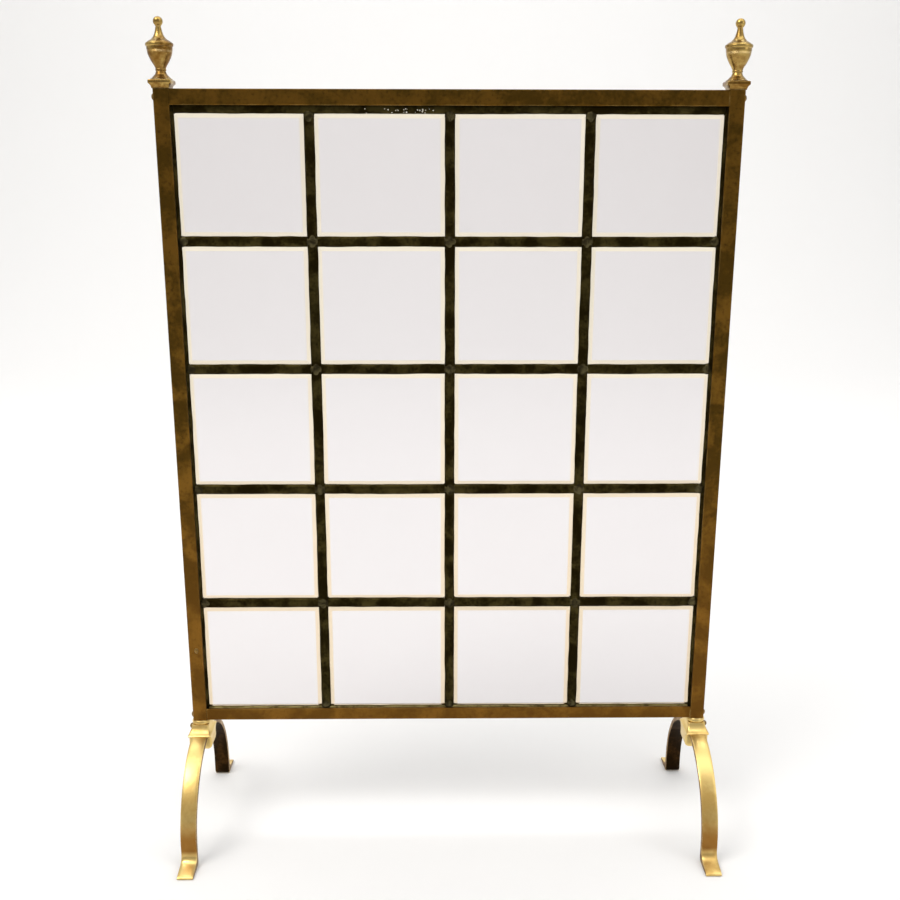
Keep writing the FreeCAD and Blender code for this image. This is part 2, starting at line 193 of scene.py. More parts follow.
# %% Cloudy tarnish
def build_tarnish():
    """Two sizes of cloud multiplied, so that patches have broken borders."""
    tree, inside, outside = new_group(
        "cloudy_tarnish",
        [("Patch Size", "NodeSocketFloat", 0.03), ("Cover", "NodeSocketFloat", 0.5)],
        [("Mask", "NodeSocketFloat"), ("Speckle", "NodeSocketFloat")])
    place = tree.nodes.new("ShaderNodeTexCoord")
    scale = math_node(tree, "DIVIDE", 1.0, inside.outputs["Patch Size"])
    clouds = tree.nodes.new("ShaderNodeTexNoise")
    clouds.inputs["Detail"].default_value = 6.0
    clouds.inputs["Distortion"].default_value = 0.6
    tree.links.new(place.outputs["Object"], clouds.inputs["Vector"])
    tree.links.new(scale, clouds.inputs["Scale"])
    fine = tree.nodes.new("ShaderNodeTexNoise")
    fine.inputs["Detail"].default_value = 4.0
    tree.links.new(place.outputs["Object"], fine.inputs["Vector"])
    tree.links.new(math_node(tree, "MULTIPLY", scale, 9.0), fine.inputs["Scale"])
    mixed = math_node(tree, "MULTIPLY_ADD", fine.outputs["Fac"], 0.25)
    tree.links.new(clouds.outputs["Fac"], mixed.node.inputs[2])
    shifted = math_node(tree, "ADD", mixed, math_node(tree, "SUBTRACT", inside.outputs["Cover"], 0.62))
    tree.links.new(ramp(tree, shifted, 0.38, 0.66), outside.inputs["Mask"])
    tree.links.new(ramp(tree, fine.outputs["Fac"], 0.56, 0.7), outside.inputs["Speckle"])
    return tree


# %% Rubbed edges
def build_rubbed_edges():
    """Bright where a rounded copy of the normal differs from the flat one, broken by noise."""
    tree, inside, outside = new_group(
        "rubbed_edges",
        [("Width", "NodeSocketFloat", 0.0012), ("Strength", "NodeSocketFloat", 1.0)],
        [("Mask", "NodeSocketFloat")])
    rounded = tree.nodes.new("ShaderNodeBevel")
    rounded.samples = 4
    tree.links.new(inside.outputs["Width"], rounded.inputs["Radius"])
    flat = tree.nodes.new("ShaderNodeNewGeometry")
    turn = tree.nodes.new("ShaderNodeVectorMath")
    turn.operation = "DOT_PRODUCT"
    tree.links.new(rounded.outputs["Normal"], turn.inputs[0])
    tree.links.new(flat.outputs["Normal"], turn.inputs[1])
    bend = math_node(tree, "SUBTRACT", 1.0, turn.outputs["Value"])
    place = tree.nodes.new("ShaderNodeTexCoord")
    breaks = tree.nodes.new("ShaderNodeTexNoise")
    breaks.inputs["Scale"].default_value = 90.0
    breaks.inputs["Detail"].default_value = 4.0
    tree.links.new(place.outputs["Object"], breaks.inputs["Vector"])
    bent = ramp(tree, bend, 0.02, 0.22)
    worn = math_node(tree, "MULTIPLY", bent, ramp(tree, breaks.outputs["Fac"], 0.38, 0.6))
    tree.links.new(math_node(tree, "MULTIPLY", worn, inside.outputs["Strength"], clamp=True),
                   outside.inputs["Mask"])
    return tree


# %% Dirt and painted shade in corners
def build_corner_dirt_and_shade():
    """Dark where nearby surfaces close a corner in: painted shade, standing also for dirt."""
    tree, inside, outside = new_group(
        "corner_dirt_and_painted_shade",
        [("Reach", "NodeSocketFloat", 0.006), ("Strength", "NodeSocketFloat", 1.0)],
        [("Mask", "NodeSocketFloat")])
    shelter = tree.nodes.new("ShaderNodeAmbientOcclusion")
    shelter.samples = 6
    tree.links.new(inside.outputs["Reach"], shelter.inputs["Distance"])
    closed = math_node(tree, "SUBTRACT", 1.0, shelter.outputs["AO"])
    mask = math_node(tree, "MULTIPLY", ramp(tree, closed, 0.25, 0.85), inside.outputs["Strength"], clamp=True)
    tree.links.new(mask, outside.inputs["Mask"])
    return tree


# %% Fine lines and dents
def build_tool_lines():
    """Long thin streaks along one axis, plus shallow dents, as a height in 0..1."""
    tree, inside, outside = new_group(
        "tool_lines",
        [("Stretch", "NodeSocketVector", (1.0, 1.0, 1.0)), ("Dents", "NodeSocketFloat", 0.5)],
        [("Height", "NodeSocketFloat"), ("Streak", "NodeSocketFloat")])
    place = tree.nodes.new("ShaderNodeTexCoord")
    stretch = tree.nodes.new("ShaderNodeVectorMath")
    stretch.operation = "MULTIPLY"
    tree.links.new(place.outputs["Object"], stretch.inputs[0])
    tree.links.new(inside.outputs["Stretch"], stretch.inputs[1])
    lines = tree.nodes.new("ShaderNodeTexNoise")
    lines.inputs["Scale"].default_value = 1.0
    lines.inputs["Detail"].default_value = 3.0
    tree.links.new(stretch.outputs[0], lines.inputs["Vector"])
    dents = tree.nodes.new("ShaderNodeTexNoise")
    dents.inputs["Scale"].default_value = 130.0
    dents.inputs["Detail"].default_value = 2.0
    tree.links.new(place.outputs["Object"], dents.inputs["Vector"])
    deep = math_node(tree, "MULTIPLY", dents.outputs["Fac"], inside.outputs["Dents"])
    tree.links.new(math_node(tree, "ADD", lines.outputs["Fac"], deep), outside.inputs["Height"])
    tree.links.new(lines.outputs["Fac"], outside.inputs["Streak"])
    return tree


tarnish, rubbed = build_tarnish(), build_rubbed_edges()
corner_shade_group, tool_lines = build_corner_dirt_and_shade(), build_tool_lines()
print("wear groups:", [g.name for g in bpy.data.node_groups])


# %% [markdown]
# ## The metals
# All the brass started as one alloy, but the parts have aged apart: the square frame has browned, the
# cast feet are still golden because they are wiped, and the turned finials lie between.  The lead is
# nearly black, and solder stays a little greyer.  One function lays out the same chain for all of
# them: clean metal, tarnish over it, painted shade with some dirt in corners, bright rubbed edges last.

# %% Build a worn metal
def worn_metal(name, clean, tarnished, rubbed_colour, dirt_and_shade_colour, roughness, metallic=1.0,
               patch=0.03, cover=0.5, edge=1.0, edge_width=0.0012, corner_dirt_and_shade_strength=0.8,
               stretch=(300.0, 300.0, 300.0), dents=0.5, relief=0.00006, speckle=0.35, painted_light_band=None):
    """Roughness is (clean, tarnished); painted_light_band is (four heights, colour between them, strength):
    colour laid over those heights as painted light, lighter or darker than the metal.
    """
    material = bpy.data.materials.new(name)
    material.use_nodes = True
    tree = material.node_tree
    shader = tree.nodes["Principled BSDF"]

    def place(group, **values):
        node = tree.nodes.new("ShaderNodeGroup")
        node.node_tree = group
        for label, value in values.items():
            node.inputs[label.replace("_", " ")].default_value = value
        return node.outputs

    clouds = place(tarnish, Patch_Size=patch, Cover=cover)
    edges = place(rubbed, Width=edge_width, Strength=edge)
    corner_shade_masks = place(corner_shade_group, Strength=corner_dirt_and_shade_strength)
    lines = place(tool_lines, Stretch=stretch, Dents=dents)
    colour = blend_colour(tree, clouds["Mask"], clean, tarnished)
    speck = math_node(tree, "MULTIPLY", clouds["Speckle"], speckle)
    colour = blend_colour(tree, speck, colour, dirt_and_shade_colour)
    # Painted light by height: a lighter, warmer painted reflection low on the frame, and dark painted shade
    # low on the feet's legs.
    if painted_light_band:
        heights, painted_band_colour, strength = painted_light_band
        height = tree.nodes.new("ShaderNodeSeparateXYZ")
        tree.links.new(tree.nodes.new("ShaderNodeTexCoord").outputs["Object"], height.inputs[0])
        above = ramp(tree, height.outputs["Z"], heights[0], heights[1])
        below = ramp(tree, height.outputs["Z"], heights[3], heights[2])
        painted_band_mask = math_node(tree, "MULTIPLY", math_node(tree, "MULTIPLY", above, below), strength)
        colour = blend_colour(tree, painted_band_mask, colour, painted_band_colour)
    colour = blend_colour(tree, edges["Mask"], colour, rubbed_colour)
    # Painted shade, with some dirt in it, darkens the corners.
    colour = blend_colour(tree, corner_shade_masks["Mask"], colour, dirt_and_shade_colour)
    tree.links.new(colour, shader.inputs["Base Color"])
    rough = tree.nodes.new("ShaderNodeMapRange")
    rough.inputs["To Min"].default_value = roughness[0]
    rough.inputs["To Max"].default_value = roughness[1]
    spread = math_node(tree, "MULTIPLY_ADD", lines["Streak"], 0.5)
    tree.links.new(math_node(tree, "SUBTRACT", clouds["Mask"], 0.25), spread.node.inputs[2])
    tree.links.new(spread, rough.inputs["Value"])
    tree.links.new(rough.outputs["Result"], shader.inputs["Roughness"])
    shader.inputs["Metallic"].default_value = metallic
    bump = tree.nodes.new("ShaderNodeBump")
    bump.inputs["Distance"].default_value = relief
    tree.links.new(lines["Height"], bump.inputs["Height"])
    tree.links.new(bump.outputs["Normal"], shader.inputs["Normal"])
    return material


ALONG_X = (25.0, 900.0, 900.0)
ALONG_Z = (900.0, 900.0, 25.0)
ROUND_Z = (120.0, 120.0, 1500.0)
# The frame's height setting paints it lighter and warmer below 0.14 m, fading out by 0.42 m: a painted
# reflection.
frame_colours = dict(clean=(0.185, 0.092, 0.014), tarnished=(0.075, 0.040, 0.006),
                     rubbed_colour=(0.42, 0.28, 0.09), dirt_and_shade_colour=(0.022, 0.012, 0.004),
                     roughness=(0.32, 0.50), cover=0.54, patch=0.028, speckle=0.3, edge_width=0.0016,
                     painted_light_band=((-0.2, -0.1, 0.14, 0.42), (0.235, 0.098, 0.016), 0.38))
rail_brass = worn_metal("aged_rail_brass", stretch=ALONG_X, **frame_colours)
post_brass = worn_metal("aged_post_brass", stretch=ALONG_Z, **frame_colours)
finial_brass = worn_metal(
    "turned_finial_brass", clean=(0.48, 0.33, 0.100), tarnished=(0.19, 0.090, 0.016),
    rubbed_colour=(0.70, 0.54, 0.27), dirt_and_shade_colour=(0.045, 0.025, 0.008), roughness=(0.20, 0.32),
    cover=0.50, patch=0.03, stretch=ROUND_Z, dents=0.2, speckle=0.15)
# The feet's height setting darkens the legs between 8 and 50 mm up, fully from 16 to 24 mm: painted shade.
foot_brass = worn_metal(
    "wiped_foot_brass", clean=(0.80, 0.59, 0.22), tarnished=(0.64, 0.42, 0.13),
    rubbed_colour=(0.92, 0.78, 0.45), dirt_and_shade_colour=(0.20, 0.11, 0.03), roughness=(0.32, 0.44),
    cover=0.44, patch=0.03, stretch=(900.0, 60.0, 60.0), dents=0.8, speckle=0.0, corner_dirt_and_shade_strength=0.45,
    painted_light_band=((0.008, 0.016, 0.024, 0.050), (0.25, 0.10, 0.014), 0.9))
# A dark copy of the foot brass for the faces inside each arch: painted shade where the arch shades itself.
inner_shade_brass = worn_metal(
    "painted_shade_inner_brass", clean=(0.062, 0.029, 0.008), tarnished=(0.020, 0.010, 0.003),
    rubbed_colour=(0.40, 0.26, 0.10), dirt_and_shade_colour=(0.012, 0.006, 0.003), roughness=(0.40, 0.58),
    cover=0.62, patch=0.02, stretch=(900.0, 60.0, 60.0), dents=1.0)
side_brass = worn_metal(
    "strap_side_brass", clean=(0.34, 0.19, 0.045), tarnished=(0.17, 0.085, 0.018),
    rubbed_colour=(0.62, 0.44, 0.18), dirt_and_shade_colour=(0.03, 0.016, 0.005), roughness=(0.34, 0.50),
    cover=0.5, patch=0.015, stretch=(900.0, 60.0, 60.0), dents=0.8)
screw_brass = worn_metal(
    "screw_brass", clean=(0.28, 0.17, 0.05), tarnished=(0.11, 0.065, 0.02),
    rubbed_colour=(0.55, 0.4, 0.18), dirt_and_shade_colour=(0.03, 0.018, 0.006), roughness=(0.3, 0.5), patch=0.006)
lead = worn_metal(
    "dark_lead", clean=(0.052, 0.040, 0.012), tarnished=(0.015, 0.010, 0.002),
    rubbed_colour=(0.15, 0.125, 0.06), dirt_and_shade_colour=(0.006, 0.004, 0.002), roughness=(0.42, 0.62),
    metallic=1.0, cover=0.55, patch=0.02, edge=0.6, edge_width=0.0006, corner_dirt_and_shade_strength=0.5,
    stretch=(160.0, 160.0, 160.0), dents=1.5, relief=0.00012)
# A lighter copy of the lead for the bottom border came, whose upper face is lit from above: painted light.
lit_border_lead = worn_metal(
    "painted_light_border_lead", clean=(0.20, 0.158, 0.062), tarnished=(0.075, 0.054, 0.018),
    rubbed_colour=(0.32, 0.27, 0.13), dirt_and_shade_colour=(0.012, 0.008, 0.003), roughness=(0.42, 0.62),
    cover=0.45, patch=0.015, edge=0.6, edge_width=0.0006, corner_dirt_and_shade_strength=0.5,
    stretch=(160.0, 160.0, 160.0), dents=1.5, relief=0.00012)
solder = worn_metal(
    "dull_solder", clean=(0.085, 0.070, 0.030), tarnished=(0.024, 0.018, 0.006),
    rubbed_colour=(0.22, 0.20, 0.13), dirt_and_shade_colour=(0.012, 0.010, 0.005), roughness=(0.36, 0.6),
    metallic=0.9, cover=0.52, patch=0.006, edge=0.5, stretch=(220.0, 220.0, 220.0), dents=1.5, relief=0.00015)
print("metals:", [m.name for m in bpy.data.materials if m.users == 0])


# %% [markdown]
# ## The glass
# Each pane is a clear plate with a wide ground bevel, and the CAD node already has that shape, so it
# stays and only needs a material.  The plate itself is a faint grey, and a bevel is painted warmer
# with the cream and tan of the reflections it catches, more so in the lower rows.  Slope tells the
# two apart: the normal of a flat face points straight along Y, and that of a bevel does not.

# %% Bevelled plate glass
BEVEL_REFLECTION_WARMS_FROM_TO = (0.52, 0.22)         # heights in metres
CREAM_BEVEL_REFLECTION = (0.93, 0.81, 0.55)
TAN_BEVEL_REFLECTION = (0.84, 0.62, 0.34)
FAINT_GREY = (0.81, 0.785, 0.795)


def plate_glass():
    material = bpy.data.materials.new("bevelled_plate_glass")
    material.use_nodes = True
    tree = material.node_tree
    shader = tree.nodes["Principled BSDF"]
    shader.inputs["Transmission Weight"].default_value = 1.0
    shader.inputs["Metallic"].default_value = 0.0
    shader.inputs["Roughness"].default_value = 0.0
    shader.inputs["IOR"].default_value = 1.5
    surface = tree.nodes.new("ShaderNodeNewGeometry")
    facing = tree.nodes.new("ShaderNodeVectorMath")
    facing.operation = "DOT_PRODUCT"
    facing.inputs[1].default_value = (0.0, 1.0, 0.0)
    tree.links.new(surface.outputs["True Normal"], facing.inputs[0])
    slope = math_node(tree, "SUBTRACT", 1.0, math_node(tree, "ABSOLUTE", facing.outputs["Value"]))
    on_bevel = ramp(tree, slope, 0.005, 0.03)
    height = tree.nodes.new("ShaderNodeSeparateXYZ")
    tree.links.new(tree.nodes.new("ShaderNodeTexCoord").outputs["Object"], height.inputs[0])
    low_down = ramp(tree, height.outputs["Z"], *BEVEL_REFLECTION_WARMS_FROM_TO)
    # Painted reflection: bevels take a cream tint that turns tan in the lower rows, standing for the warm
    # light they catch.
    bevel_reflection = blend_colour(tree, low_down, CREAM_BEVEL_REFLECTION, TAN_BEVEL_REFLECTION)
    colour = blend_colour(tree, on_bevel, FAINT_GREY, bevel_reflection)
    tree.links.new(colour, shader.inputs["Base Color"])
    return material


glass = plate_glass()
panes = [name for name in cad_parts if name.startswith("pane_")]
for name in panes:
    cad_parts[name].material_slots[0].material = glass
print("panes:", len(panes))

# %% [markdown]
# ## Metals on the CAD nodes that stay
# The square tubes have their slots, drilled holes and rounded edges in CAD, and so have the screws, so
# they stay as they are.  Drawing lines run along a tube, so posts and rails have a material each.

# %% Assign metals to CAD nodes
node_metal = {"post": post_brass, "rail": rail_brass, "screws": screw_brass, "plugs": finial_brass,
              "stud": screw_brass}
for name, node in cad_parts.items():
    ending = name.split("_")[-1]
    if ending in node_metal:
        node.material_slots[0].material = node_metal[ending]
        print(name, "->", node_metal[ending].name)


# %% [markdown]
# ## Lead cames
# A came is an extruded H of soft lead.  A real one is never straight: it was stretched, bent round the
# glass and rubbed down with a stick, so its edges wander by a quarter of a millimetre.  A plain
# extrusion looks like plastic trim, so each came is a skin over many sections, whose leaf edges and
# crown are moved a little by smooth noise.  Cement fills the space between the front leaf and the
# bevel, and the section carries it in one outline.

# %% The came's section
GLASS_BACK = 2.5 * MM
BEVEL_START = 0.05 * MM       # front of the glass at its edge, less the cement's skin
BEVEL_SLOPE = 2.6 / 6.5
GLASS_GAP = 0.4 * MM
CROWN_STEPS = 9


def crown_line(low, high, edge_depth, top):
    """Points over a leaf from its low edge to its high edge, as (across, depth)."""
    points = []
    for step in range(CROWN_STEPS):
        t = -1.0 + 2.0 * step / (CROWN_STEPS - 1)
        t = math.copysign(abs(t) ** 0.75, t)
        depth = edge_depth + (top - edge_depth) * (1.0 - abs(t) ** 3.2) ** 0.7
        points.append(((low + high) / 2 + t * (high - low) / 2, depth))
    return points


def came_section(low, high, heart_low, heart_high, front_top, back_top):
    """One closed outline: front leaf with cement, heart, back leaf."""
    def bevel_depth(reach):
        return BEVEL_START - BEVEL_SLOPE * max(reach - GLASS_GAP, 0.0)

    front = [(u, -d) for u, d in crown_line(low, high, 1.9 * MM, front_top)]
    back = [(u, d) for u, d in crown_line(low, high, 3.0 * MM, back_top)]
    inset = 0.12 * MM
    outline = list(front)
    outline.append((high - inset, bevel_depth(high - heart_high) - 0.1 * MM))
    outline += [(heart_high, BEVEL_START), (heart_high, GLASS_BACK + 0.1 * MM)]
    outline.append((high - inset, GLASS_BACK + 0.06 * MM))
    outline += list(reversed(back))
    if heart_low > low:
        outline.append((low + inset, GLASS_BACK + 0.06 * MM))
        outline += [(heart_low, GLASS_BACK + 0.1 * MM), (heart_low, BEVEL_START)]
        outline.append((low + inset, bevel_depth(heart_low - low) - 0.1 * MM))
    return outline


# %% Skin a came with wandering edges
def came_shell(start, end, place, seed, low=-came_half, high=came_half, heart=None, steady_low=False):
    """Sections every 4 mm from start to end; place(along, across, depth) gives a point."""
    heart_low, heart_high = heart or (-0.8 * MM, 0.8 * MM)
    stations = max(8, int((end - start) / (4 * MM)))
    rings = []
    for station in range(stations + 1):
        along = start + (end - start) * station / stations

        def wander(channel, pitch, size):
            return size * noise.noise(Vector((along / pitch, seed * 7.3, channel * 11.1)))

        drift = wander(0, 0.045, 0.25 * MM)
        low_edge = low + (0.0 if steady_low else drift + wander(1, 0.014, 0.35 * MM))
        high_edge = high + drift + wander(2, 0.014, 0.35 * MM)
        section = came_section(low_edge, high_edge, heart_low, heart_high,
                               crown - 0.15 * MM + wander(3, 0.02, 0.22 * MM),
                               crown - 0.15 * MM + wander(4, 0.02, 0.22 * MM))
        rings.append([place(along, across, depth) for across, depth in section])
    return skin(rings)


def upright(x):
    return lambda along, across, depth: (x + across, depth, along)


def level(z):
    return lambda along, across, depth: (along, depth, z + across)


# %% All the cames
for number, x in enumerate(columns_x, 1):
    shell = came_shell(bottom_sight, top_sight, upright(x), seed=number)
    make_piece(f"lead_column_{number}", shell, lead, [f"came_column_{number}"])

ends = [-side_sight] + [x + side * came_half for x in columns_x for side in (-1, 1)] + [side_sight]
for number, z in enumerate(rows_z, 1):
    shells = [came_shell(ends[i], ends[i + 1], level(z), seed=10 * number + i)
              for i in range(0, len(ends), 2)]
    make_piece(f"lead_row_{number}", gather(shells), lead, [f"came_row_{number}"])

for side, seed in (("left", 51), ("right", 52)):
    node = f"came_border_{side}"
    low_z, high_z = span(node, 2)
    shell = came_shell(low_z, high_z, upright(middle(node, 0)), seed)
    make_piece(f"lead_border_{side}", shell, lead, [node])

shell = came_shell(-side_sight, side_sight, level(middle("came_border_top", 2)), seed=53)
make_piece("lead_border_top", shell, lead, ["came_border_top"])
# The bottom border came is painted lighter, as lit from above.
bottom_low = span("came_border_bottom", 2)[0]
shell = came_shell(-side_sight, side_sight, level(bottom_low), seed=54, low=0.0,
                   high=bottom_sight - bottom_low, heart=(0.0, 1.4 * MM), steady_low=True)
make_piece("lead_border_bottom", shell, lit_border_lead, ["came_border_bottom"])


# %% [markdown]
# ## Solder joints
# Where cames meet, a blob of solder was run over the joint with an iron.  It creeps further along each
# came than into the corners, so seen from the front it is a soft four-pointed star, and its surface
# is lumpy.  A sphere pressed flat gives none of that.  Each blob is a disc of rings whose radius
# follows the cames, with a height that falls from the middle to its rim.

# %% One solder blob
BLOB_RINGS = 7
BLOB_POINTS = 32


def blob_shell(x, z, arms, seed, side):
    """arms are the directions, in degrees, of the cames that meet here; side is -1 front, 1 back."""
    rings = []
    rim_depth = 2.3 * MM if side < 0 else 3.1 * MM
    for ring in range(BLOB_RINGS + 1):
        part = ring / BLOB_RINGS
        points = []
        for step in range(BLOB_POINTS):
            angle = 2 * math.pi * step / BLOB_POINTS
            along = max(max(math.cos(angle - math.radians(a)), 0.0) ** 6 for a in arms)
            lump = noise.noise(Vector((math.cos(angle), math.sin(angle), seed * 3.7)) * 1.6)
            reach = (4.3 + 2.4 * along + 0.8 * lump) * MM
            bulge = noise.noise(Vector((x * 900, z * 900, seed) ) + Vector(
                (part * 1.5 * math.cos(angle), part * 1.5 * math.sin(angle), 0.0)))
            top = crown + (0.45 * (1 - part ** 2.2) + 0.35 * bulge * (1 - part)) * MM
            depth = top + (rim_depth - top) * part ** 5
            points.append((x + reach * max(part, 0.02) * math.cos(angle), side * depth,
                           z + reach * max(part, 0.02) * math.sin(angle)))
        rings.append(points)
    rings.append([(x + 0.9 * (px - x), side * (rim_depth - 0.7 * MM), z + 0.9 * (pz - z))
                  for px, _, pz in rings[-1]])
    return skin(rings)


# %% All the joints, front and back
EAST, NORTH, WEST, SOUTH = 0, 90, 180, 270
edge_in = 1.2 * MM
joints = [(x, z, (EAST, NORTH, WEST, SOUTH)) for x in columns_x for z in rows_z]
joints += [(side_sight - edge_in, z, (WEST,)) for z in rows_z]
joints += [(-side_sight + edge_in, z, (EAST,)) for z in rows_z]
joints += [(x, top_sight - edge_in, (SOUTH,)) for x in columns_x]
joints += [(x, bottom_sight + edge_in, (NORTH,)) for x in columns_x]
inner_x = span("top_rail", 0)[1] - 0.2 * MM
for label, side in (("front", -1), ("back", 1)):
    shells = []
    for number, (x, z, arms) in enumerate(joints):
        verts, faces = blob_shell(x, z, arms, seed=number + 40 * (side + 1), side=side)
        low_z = span("bottom_rail", 2)[1] + 0.1 * MM
        high_z = span("top_rail", 2)[0] - 0.1 * MM
        verts = [(min(max(vx, -inner_x), inner_x), vy, min(max(vz, low_z), high_z)) for vx, vy, vz in verts]
        shells.append((verts, faces))
    make_piece(f"solder_joints_{label}", gather(shells), solder, [f"solder_{label}"], crease_deg=60)


# %% [markdown]
# ## Turned finials
# The urns were turned on a lathe, so each one is an outline carried round an axis.  A Screw modifier
# could do it, but rings of points are as short and let the cutter's small beads and scored rings on
# the bowl be part of the outline.

# %% Turn an outline
def turned_shell(outline, x, points=72):
    """Rings about a vertical axis at x from (radius, height) pairs, in metres."""
    rings = []
    for radius, height in outline:
        rings.append([(x + radius * math.cos(2 * math.pi * i / points),
                       radius * math.sin(2 * math.pi * i / points), height) for i in range(points)])
    return skin(rings)


def smooth_run(knots, steps=6):
    """A Catmull-Rom run through (r, z) knots, in millimetres."""
    run = []
    for i in range(len(knots) - 1):
        before = knots[max(i - 1, 0)]
        a, b = knots[i], knots[i + 1]
        after = knots[min(i + 2, len(knots) - 1)]
        for s in range(steps):
            t = s / steps
            run.append(tuple(0.5 * (2 * a[k] + (b[k] - before[k]) * t
                                    + (2 * before[k] - 5 * a[k] + 4 * b[k] - after[k]) * t * t
                                    + (3 * a[k] - before[k] - 3 * b[k] + after[k]) * t ** 3)
                             for k in (0, 1)))
    run.append(knots[-1])
    return run


# %% The urn's outline
def urn_outline(base):
    """(radius, height) from the foot to the top of the ball; heights above the plinth."""
    foot = [(8.0, 0.0), (8.75, 0.1), (8.95, 0.45), (8.6, 0.85), (7.9, 1.1)]
    flare = smooth_run([(7.9, 1.1), (6.5, 2.5), (4.75, 4.4), (3.85, 6.6)])
    bead = smooth_run([(3.85, 6.6), (4.25, 7.3), (4.3, 8.0), (4.05, 8.5)], 3)
    bowl = smooth_run([(4.05, 8.5), (5.0, 10.7), (7.1, 14.1), (8.9, 17.9), (9.75, 20.6)])
    rings = [(9.85, 20.9), (9.72, 21.1), (9.95, 21.5), (9.82, 21.75), (10.05, 22.2), (9.95, 22.4),
             (10.15, 23.2), (10.25, 24.6), (10.2, 25.1)]
    rim = [(10.65, 25.4), (10.95, 25.9), (11.0, 26.7), (10.95, 27.4), (10.6, 27.95), (9.9, 28.2)]
    lid = smooth_run([(9.9, 28.2), (8.9, 29.1), (6.1, 30.9), (4.1, 33.3), (2.9, 36.6), (2.1, 40.3)])
    radius, centre = 3.85, 44.1
    start = math.asin(2.1 / radius)
    ball = []
    for step in range(1, 15):
        angle = start + (math.pi - start) * step / 14
        ball.append((max(radius * math.sin(angle), 0.05), centre - radius * math.cos(angle)))
    outline = foot + flare[1:] + bead[1:] + bowl[1:] + rings + rim + lid[1:] + ball
    return [(r * MM, base + h * MM) for r, h in outline]


for side, sign in (("left", -1), ("right", 1)):
    base = span(f"{side}_finial_urn", 2)[0]
    shell = turned_shell(urn_outline(base), sign * post_x)
    make_piece(f"urn_{side}", shell, finial_brass, [f"{side}_finial_urn"])


# %% [markdown]
# ## Square mouldings
# The plinths and the hubs are square in plan, with soft corners, and change width as they rise.  Rings
# again: rounded squares stacked by height.  The corner radius grows where hands and polish reach.

# %% Stack rounded squares
def square_ring(half_x, half_y, corner, x, z, steps=5):
    ring = []
    for quarter in range(4):
        middle_angle = math.pi / 4 + quarter * math.pi / 2
        cx = math.copysign(half_x - corner, math.cos(middle_angle))
        cy = math.copysign(half_y - corner, math.sin(middle_angle))
        for i in range(steps + 1):
            angle = quarter * math.pi / 2 + i * math.pi / 2 / steps
            ring.append((x + cx + corner * math.cos(angle), cy + corner * math.sin(angle), z))
    return ring


def square_shell(levels, x, base):
    """levels are (half width, half depth, corner radius, height above base) in millimetres."""
    return skin([square_ring(half_x * MM, half_y * MM, corner * MM, x, base + z * MM)
                 for half_x, half_y, corner, z in levels])


# %% Plinths under the urns
PLINTH = [(6.9, 0.8, 0.0), (7.1, 0.9, 0.15), (7.1, 0.9, 0.7), (7.2, 0.9, 1.2), (7.55, 1.0, 2.1),
          (8.3, 1.1, 3.1), (9.0, 1.2, 3.7), (9.2, 1.2, 4.0), (9.25, 1.2, 4.4), (9.25, 1.2, 5.9),
          (9.1, 1.2, 6.4), (8.7, 1.2, 6.7)]
for side, sign in (("left", -1), ("right", 1)):
    base = span(f"{side}_finial_plinth", 2)[0]
    levels = [(half, half, corner, z) for half, corner, z in PLINTH]
    make_piece(f"plinth_{side}", square_shell(levels, sign * post_x, base), finial_brass,
               [f"{side}_finial_plinth"])

# %% Hubs that saddle the straps
HUB_BLOCK = [(5.4, 5.4, 3.2, 0.0), (6.6, 6.6, 2.8, 0.15), (8.0, 8.0, 2.4, 0.9), (9.3, 9.3, 2.1, 2.3),
             (10.1, 10.1, 1.9, 4.2), (10.45, 10.4, 1.7, 6.5), (10.5, 10.5, 1.6, 13.0)]
HUB_LIP = [(10.5, 12.2, 1.5, 14.9), (10.45, 14.4, 1.3, 16.1), (10.4, 15.0, 1.1, 16.6),
           (10.35, 15.0, 1.1, 17.3), (10.2, 14.6, 1.1, 17.7)]
HUB_NECK = [(9.7, 13.0, 1.3, 18.3), (9.1, 11.4, 1.5, 19.3), (8.55, 10.1, 1.6, 20.6),
            (8.15, 9.0, 1.7, 22.0), (7.9, 8.2, 1.7, 23.4), (7.8, 7.85, 1.7, 24.4),
            (7.5, 7.5, 1.7, 24.9), (6.9, 6.9, 1.7, 25.0)]
for side, sign in (("left", -1), ("right", 1)):
    base = span(f"{side}_hub", 2)[0]
    levels = HUB_BLOCK + HUB_LIP + HUB_NECK
    make_piece(f"hub_block_{side}", square_shell(levels, sign * post_x, base), foot_brass,
               [f"{side}_hub"])

# %% Round beads under the posts
BEAD = [(7.0, 0.0), (7.9, 0.15), (8.4, 0.9), (8.5, 1.7), (8.3, 2.5), (7.9, 3.1), (7.8, 3.5), (7.2, 4.0)]
for side, sign in (("left", -1), ("right", 1)):
    base = span(f"{side}_collar", 2)[0]
    shell = turned_shell([(r * MM, base + h * MM) for r, h in BEAD], sign * post_x, points=48)
    make_piece(f"bead_{side}", shell, foot_brass, [f"{side}_collar"])


# %% [markdown]
# ## Strap feet
# Each foot is one flat bar bent over a former into a half circle, with its ends turned out as toes.  A
# bent bar has soft edges and a face that is slightly crowned, and these catch the light in one long
# streak.  So the bar is a rounded section carried along the bend, not a flat extrusion.  Outer
# and inner lines are worked out separately, because the bar thickens at the heel.

# %% The strap's outer and inner lines
OUTER_RADIUS = 78.0 * MM
INNER_RADIUS = 73.0 * MM


